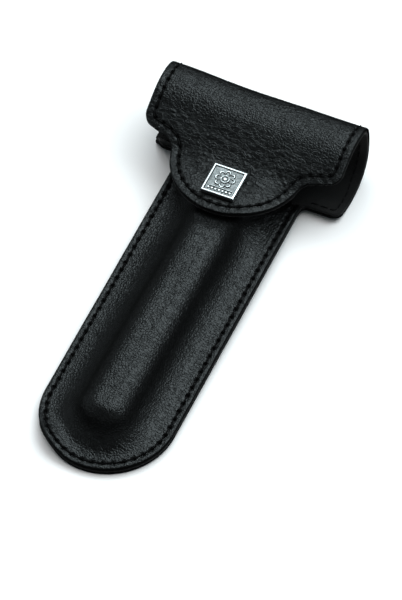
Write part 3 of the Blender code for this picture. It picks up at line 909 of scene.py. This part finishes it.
def unevenness(layout, kinds):
    """Sum of ripples over a leather, each kind as (size, height, seed)."""
    return sum(height * ripples(layout.x, layout.t, size, seed) for size, height, seed in kinds)


def mesh_piece(name, points, faces):
    """A new piece from points in the case frame, which it also keeps as its rest place."""
    mesh = bpy.data.meshes.new(name)
    mesh.from_pydata([to_world(p) for p in points], [], faces)
    mesh.shade_smooth()
    rest = mesh.attributes.new("rest", "FLOAT_VECTOR", "POINT")
    rest.data.foreach_set("vector", np.asarray(points, np.float32).ravel())
    obj = bpy.data.objects.new(name, mesh)
    bpy.context.scene.collection.objects.link(obj)
    return obj


def paint(obj, name, values):
    attribute = obj.data.attributes.new(name, "FLOAT", "POINT")
    attribute.data.foreach_set("value", np.asarray(values, np.float32))


def slab(name, layout, place, top, bottom, side):
    """A closed leather between two heights off its surface."""
    count = len(layout.points)
    points = np.concatenate([place(layout.x, layout.t, top), place(layout.x, layout.t, bottom)])
    sides = dict.fromkeys(pair for face in layout.faces for pair in zip(face, face[1:] + face[:1]))
    walls = [[b, a, a + count, b + count] for a, b in sides if (b, a) not in sides]
    faces = layout.faces + [[v + count for v in reversed(face)] for face in layout.faces] + walls
    if side < 0.0:
        faces = [face[::-1] for face in faces]
    piece = mesh_piece(name, points, faces)
    piece.data.set_sharp_from_angle(angle=math.radians(60.0))
    return piece


def seam_relief(layout, pull=SEAM_PULL):
    """Leather pulled down along its seam, with a pit at each stitch hole."""
    groove = pull * bell(layout.away, SEAM_WIDTH)
    lip = LIP_HEIGHT * bell(layout.away + LIP_OUT, SEAM_WIDTH)
    pits = bell(layout.away, HOLE_SIZE[0], 4) * bell(layout.from_hole, HOLE_SIZE[1], 4)
    pucker = bell(layout.away, PUCKER_SIZE[0]) * bell(layout.from_hole, PUCKER_SIZE[1])
    return lip - groove - HOLE_DEPTH * pits - PUCKER_DEPTH * pucker


def creases(x, t, size, seed):
    """Lines between loose cells, from 0 on a cell to 1 in a crease."""
    found = []
    for a, b in zip(x, t):
        shift = noise.noise((a / CREASE_WANDER_SIZE, b / CREASE_WANDER_SIZE, seed))
        near = (a / CREASE_WOBBLE_SIZE, b / CREASE_WOBBLE_SIZE, seed + 3.0)
        wobble = CREASE_WOBBLE * noise.noise(near)
        cell = (a / size[0] + shift + wobble, b / size[1] - shift + wobble, seed)
        first, second = noise.voronoi(cell)[0][:2]
        found.append(second - first)
    return bell(np.array(found), CREASE_WIDTH)


def flap_crackle(layout, past_crest):
    """How creased the flap is: most on its slope, less on the tongue and the roll's rear."""
    slope = ramp(past_crest, *SLOPE_RAMP) * (1.0 - TONGUE_CALM * ramp(past_crest, *TONGUE_RAMP))
    rear = REAR_CRACKLE * (past_crest < 0.0)
    patchy = PATCH_MEAN + PATCH_SWING * ripples(layout.x, layout.t, PATCH_SIZE, seed=12.0)
    return np.clip((slope + rear) * np.clip(patchy, *PATCH_LIMITS), 0.0, 1.0)


def pinches(layout, past_crest):
    """The depth of each pinch beside the badge, and its shape from 0 to 1."""
    y = np.interp(layout.t, PROFILE_T, PROFILE_Y)
    for (x0, y0), (x1, y1), depth in PINCHES:
        along = np.clip((y - y0) / (y1 - y0), -0.5, 1.5)
        bent = x0 + (x1 - x0) * along + PINCH_BEND * np.sin(y * PINCH_BEND_RATE)
        ends = ramp(along, *PINCH_START_RAMP) * ramp(-along, *PINCH_END_RAMP)
        yield depth, ends * bell(layout.x - bent, PINCH_WIDTH) * (past_crest > 0.0)


def flap_relief(layout):
    """(relief, crackle, crease) of the flap: its height, and two values for its material."""
    x, t = layout.x, layout.t
    past_crest = t - PROFILE_T[CREST]
    crackle = flap_crackle(layout, past_crest)
    long_creases = crackle * creases(x, t, LONG_CREASE_SIZE, seed=4.0)
    short_creases = crackle * creases(x, t, SHORT_CREASE_SIZE, seed=9.0)
    relief = unevenness(layout, FLAP_RIPPLES)
    relief -= LONG_CREASE_DEPTH * long_creases + SHORT_CREASE_DEPTH * short_creases
    crease = np.clip(long_creases + SHORT_CREASE_SHARE * short_creases, 0.0, 1.0)
    for depth, pinch in pinches(layout, past_crest):
        relief -= depth * pinch
        crease = np.maximum(crease, pinch)
    return relief, crackle, crease


def front_relief(layout):
    """(relief, crackle) of the pouch's front."""
    x, t = layout.x, layout.t
    patchy = 1.0 + ripples(x, t, FRONT_PATCH_SIZE, seed=6.0)
    crackle = np.clip(FRONT_CRACKLE * patchy, 0.0, 1.0)
    relief = unevenness(layout, FRONT_RIPPLES)
    relief -= FRONT_CREASE_DEPTH * crackle * creases(x, t, FRONT_CREASE_SIZE, seed=1.0)
    return relief, crackle


def leather(name, layout, place, side, relief, crackle, depth=0.0, thickness=LEATHER):
    """A leather with rounded edges, its top at a relief and a depth off its surface."""
    drop = edge_drop(layout.inset) * thickness / LEATHER
    top = relief - depth - drop
    bottom = np.full(len(layout.x), -depth - thickness) + drop
    piece = slab(name, layout, place, top, bottom, side)
    paint(piece, "crackle", np.concatenate([crackle, crackle * 0.0]))
    return piece


def paint_edge(piece, layout):
    """Give a leather its two materials: its face, and the paint of its cut edge."""
    piece.data.materials.append(LEATHER_FACE)
    piece.data.materials.append(LEATHER_EDGE)
    inset = np.concatenate([layout.inset, layout.inset])
    on_edge = [np.mean(inset[list(face.vertices)]) < EDGE_PAINT_INSET for face in piece.data.polygons]
    piece.data.polygons.foreach_set("material_index", np.array(on_edge, int))


def tube_faces(start, sections, around):
    """Quads along a tube of rings of vertices, and its two closed ends."""
    faces = []
    for i in range(sections - 1):
        for j in range(around):
            a, b = start + i * around + j, start + i * around + (j + 1) % around
            faces.append([a, b, b + around, a + around])
    faces.append([start + j for j in reversed(range(around))])
    faces.append([start + (sections - 1) * around + j for j in range(around)])
    return faces


def stitch_shape(center, inward, f, k):
    """Where the points of stitch k lie flat, and how high: two twisted plies."""
    angle = np.linspace(0.0, math.tau, STITCH_SIDES, endpoint=False)
    lift = THREAD_ARCH * (1.0 - f ** 4) - THREAD_SUNK - THREAD_DIP * np.abs(f) ** 6
    lean = THREAD_LEAN * f * random.uniform(*LEAN_SPREAD)
    taper = 1.0 - THREAD_TAPER * np.abs(f) ** 6
    radius = THREAD_RADIUS * taper * random.uniform(*RADIUS_SPREAD)
    lobes = 1.0 + PLY_DEPTH * np.cos(2.0 * angle[None, :] + PLY_TWIST * f[:, None] + k)
    wide = radius[:, None] * lobes * np.cos(angle)[None, :] + lean[:, None]
    high = radius[:, None] * lobes * np.sin(angle)[None, :] + lift[:, None]
    flat = center[:, None, :] + inward[:, None, :] * wide[..., None]
    return flat.reshape(-1, 2), high.ravel()


def stitch_tubes(name, edge, place, base, sense, keep=lambda x, t: True):
    """Thread from hole to hole along a seam, wherever keep says so; sense 1 faces out."""
    f = np.linspace(-1.0, 1.0, STITCH_SECTIONS)
    points, faces = [], []
    for k in range(edge.stitches):
        along = (k + 0.5 + f * STITCH_REACH) * edge.pitch
        center = edge.at(along, edge.ring(edge.seam))
        if not keep(*center[STITCH_SECTIONS // 2]):
            continue
        flat, high = stitch_shape(center, edge.at(along, edge.inward), f, k)
        start = STITCH_SECTIONS * STITCH_SIDES * len(points)
        faces += tube_faces(start, STITCH_SECTIONS, STITCH_SIDES)
        points.append(place(flat[:, 0], flat[:, 1], base + sense * high))
    piece = mesh_piece(name, np.concatenate(points), faces)
    piece.data.materials.append(THREAD)
    return piece


# ------------------------------------------------------------------------ badge

def bump_of(distance, width, soft=0.10):
    """1 on a line or spot of a half width, falling to 0 over a soft edge."""
    return smoothstep((width - distance) / soft + 0.5)


def badge_relief(x, y):
    """Height over the badge's field, from 0 to 1: a border, a rosette, a bar and beads."""
    from_edge = BADGE_SIZE / 2 - np.maximum(np.abs(x), np.abs(y))
    radius, turn = np.hypot(x, y - ROSETTE_Y), np.arctan2(x, y - ROSETTE_Y)
    petals = PETAL_ROOT + PETAL_REACH * np.abs(np.cos(PETAL_PAIRS * turn)) ** PETAL_POWER
    shapes = [bump_of(from_edge, BORDER_WIDTH),
              bump_of(np.abs(radius - petals), PETAL_LINE),
              bump_of(np.abs(radius - EYE_RING), EYE_LINE),
              bump_of(radius, EYE_RADIUS),
              bump_of(np.abs(y - BAR_Y), BAR_HALF[1]) * (np.abs(x) < BAR_HALF[0])]
    for i in range(BEADS):
        bead_x = (i - BEADS // 2) * BEAD_PITCH
        shapes.append(bump_of(np.hypot(x - bead_x, y - BEAD_Y), BEAD_RADIUS))
    return np.maximum.reduce(shapes)


def badge_face(top, round_depth=0.10, round_width=0.16, blur=0.2):
    """(points, faces, polish) of the cap's face: a square grid with the relief on it."""
    half, n = BADGE_SIZE / 2, BADGE_STEPS
    steps = np.linspace(-half, half, n)
    x, y = [grid.ravel() for grid in np.meshgrid(steps, steps, indexing="ij")]
    raised = badge_relief(x, y)
    from_edge = half - np.maximum(np.abs(x), np.abs(y))
    z = top - BADGE_FIELD * (1.0 - raised) - round_depth * smoothstep(1.0 - from_edge / round_width)
    points = [(a, b + STUD_Y, c) for a, b, c in zip(x, y, z)]
    faces = [[i * n + j, (i + 1) * n + j, (i + 1) * n + j + 1, i * n + j + 1]
             for i in range(n - 1) for j in range(n - 1)]
    near = sum(badge_relief(x + dx, y + dy) for dx, dy in
               ((blur, 0.0), (-blur, 0.0), (0.0, blur), (0.0, -blur))) / 4.0
    dull = FIELD_POLISH - NEAR_RELIEF_DULL * near * (1.0 - raised)
    polish = np.where(raised > 0.6, 1.0, dull)
    return points, faces, list(polish)


def grid_rim(n):
    """Indices round the outside of a grid of n by n vertices."""
    last = n - 1
    return ([i * n for i in range(n)] + [last * n + j for j in range(1, n)]
            + [i * n + last for i in range(last - 1, -1, -1)] + list(range(last - 1, 0, -1)))


def badge_walls(points, faces, polish, low):
    """Close the cap's face with side walls, chamfered at their foot, and an underside."""
    rim = last = grid_rim(BADGE_STEPS)
    inward, upward = FOOT_CHAMFER
    for inset, level, shine in ((0.0, low + upward, WALL_POLISH), (inward, low, FOOT_POLISH)):
        ring = list(range(len(points), len(points) + len(rim)))
        shrink = 1.0 - inset / (BADGE_SIZE / 2)
        points += [(points[v][0] * shrink, STUD_Y + (points[v][1] - STUD_Y) * shrink, level)
                   for v in rim]
        faces += [list(quad) for quad in
                  zip(last, ring, ring[1:] + ring[:1], last[1:] + last[:1])]
        polish += [shine] * len(rim)
        last = ring
    faces.append(last[::-1])


def badge_post(points, faces, polish, low):
    """Add the post that holds the cap to the socket, chamfered at its end."""
    end = SEAT_TOP + SNAP_HEIGHT - METAL_GAP - POST_INTO_SOCKET
    rings = ((BADGE_POST_RADIUS, low + POST_INTO_CAP), (BADGE_POST_RADIUS, end + POST_CHAMFER),
             (BADGE_POST_RADIUS - POST_CHAMFER, end), (POST_DOME[0], end - POST_DOME[1]))
    faces += [face[::-1] for face in tube_faces(len(points), len(rings), POST_SIDES)]
    for radius, level in rings:
        points += [(radius * math.cos(a), STUD_Y + radius * math.sin(a), level)
                   for a in np.linspace(0.0, math.tau, POST_SIDES, endpoint=False)]
    polish += [POST_POLISH] * (len(rings) * POST_SIDES)


def make_badge():
    """The square cap with its relief, its side walls and the post under it."""
    low = TONGUE_TOP + METAL_GAP
    points, faces, polish = badge_face(low + BADGE_THICKNESS)
    badge_walls(points, faces, polish, low)
    badge_post(points, faces, polish, low)
    piece = mesh_piece("badge_cap", points, faces)
    paint(piece, "polish", polish)
    piece.data.set_sharp_from_angle(angle=math.radians(40.0))
    piece.data.materials.append(badge_material())
    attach(piece, "flap")
    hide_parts("badge_plate")


# --------------------------------------------------------------------- assembly

def bend(piece):
    """Bake a piece's world transform into its mesh."""
    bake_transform(piece)


def finish_piece(piece, slot, *nodes):
    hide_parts(*nodes)


def roll_seam(points, run=8.0):
    """The seam moves in a little from the arms to the flap."""
    moved = (FLAP_SEAM_INSET - POUCH_SEAM_INSET) * ramp(points[:, 1], 0.0, run)
    return POUCH_SEAM_INSET + moved


def on_arm(x, t):
    """Whether a stitch lies on an arm, past the pouch's side."""
    return abs(x) > POUCH_WIDTH / 2 + 1.0


def make_lining(name, layout, place):
    """The suede under a leather."""
    flat = np.zeros(len(layout.x))
    lining = leather(name, layout, place, -1.0, flat, flat, LEATHER + LAYER_GAP, LINING)
    lining.data.materials.append(SUEDE)
    return lining


def make_back():
    edge = Edge(back_outline(), 1.0, POUCH_SEAM_INSET)
    layout = Layout(edge, rings_for(edge), BACK_SPACING)
    relief = unevenness(layout, BACK_RIPPLES) - BACK_SUNK + seam_relief(layout, BACK_SEAM_PULL)
    crackle = np.full(len(layout.x), BACK_CRACKLE)
    piece = leather("pouch_back", layout, on_back, -1.0, relief, crackle)
    paint_edge(piece, layout)
    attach(piece, "case")
    finish_piece(piece, "leather", "back_outer")

    lining = make_lining("pouch_lining", layout, on_back)
    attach(lining, "case")
    finish_piece(lining, "lining", "back_lining")

    outside = stitch_tubes("pouch_back_stitches", edge, on_back, -BACK_THREAD_SUNK, 1.0)
    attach(outside, "case")
    finish_piece(outside, "thread", "pouch_seam_thread")
    arms = stitch_tubes("arm_stitches", edge, on_back, -BACK_STACK - INNER_THREAD_SUNK, -1.0,
                        on_arm)
    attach(arms, "case")
    finish_piece(arms, "thread", "arm_seam_thread_left", "arm_seam_thread_right")


def make_front():
    edge = Edge(pouch_outline(MOUTH_Y), 1.0, POUCH_SEAM_INSET)
    layout = Layout(edge, rings_for(edge), FRONT_SPACING)
    relief, crackle = front_relief(layout)
    relief += seam_relief(layout)
    piece = leather("pouch_front_leather", layout, on_front, 1.0, relief, crackle)
    paint_edge(piece, layout)
    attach(piece, "case")
    finish_piece(piece, "leather", "pouch_front")
    stitches = stitch_tubes("pouch_front_stitches", edge, on_front, 0.0, 1.0)
    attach(stitches, "case")
    finish_piece(stitches, "thread", "pouch_seam_thread")


def make_roll_and_flap():
    edge = Edge(flap_outline(), -1.0, roll_seam)
    post = ((0.0, float(flap_length_at(STUD_Y))), BADGE_POST_RADIUS + METAL_GAP)
    layout = Layout(edge, rings_for(edge), FLAP_SPACING, post)
    relief, crackle, crease = flap_relief(layout)
    relief += seam_relief(layout)
    piece = leather("roll_and_flap", layout, on_roll, -1.0, relief, crackle)
    paint(piece, "crease", np.concatenate([crease, crease * 0.0]))
    paint_edge(piece, layout)
    bend(piece)
    finish_piece(piece, "leather", "back_outer", "flap_outer")

    lining = make_lining("roll_lining", layout, on_roll)
    bend(lining)
    finish_piece(lining, "lining", "back_lining", "flap_lining")

    outside = stitch_tubes("flap_stitches", edge, on_roll, 0.0, 1.0)
    bend(outside)
    finish_piece(outside, "thread", "flap_seam_thread")
    inner = stitch_tubes("flap_inner_stitches", edge, on_roll, -BACK_STACK - INNER_THREAD_SUNK, -1.0)
    bend(inner)
    finish_piece(inner, "thread", "flap_seam_thread", "arm_seam_thread_left",
                 "arm_seam_thread_right")


def plate_snap():
    nickel = nickel_material()
    for name in ("snap_socket", "snap_spring", "snap_stud", "stud_rivet"):
        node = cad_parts[name]
        node.data.materials.clear()
        node.data.materials.append(nickel)


make_camera()
make_light()
make_floor()
LEATHER_FACE = leather_material()
LEATHER_EDGE = edge_material()
SUEDE = lining_material()
THREAD = thread_material()
make_back()
make_front()
make_roll_and_flap()
make_badge()
plate_snap()
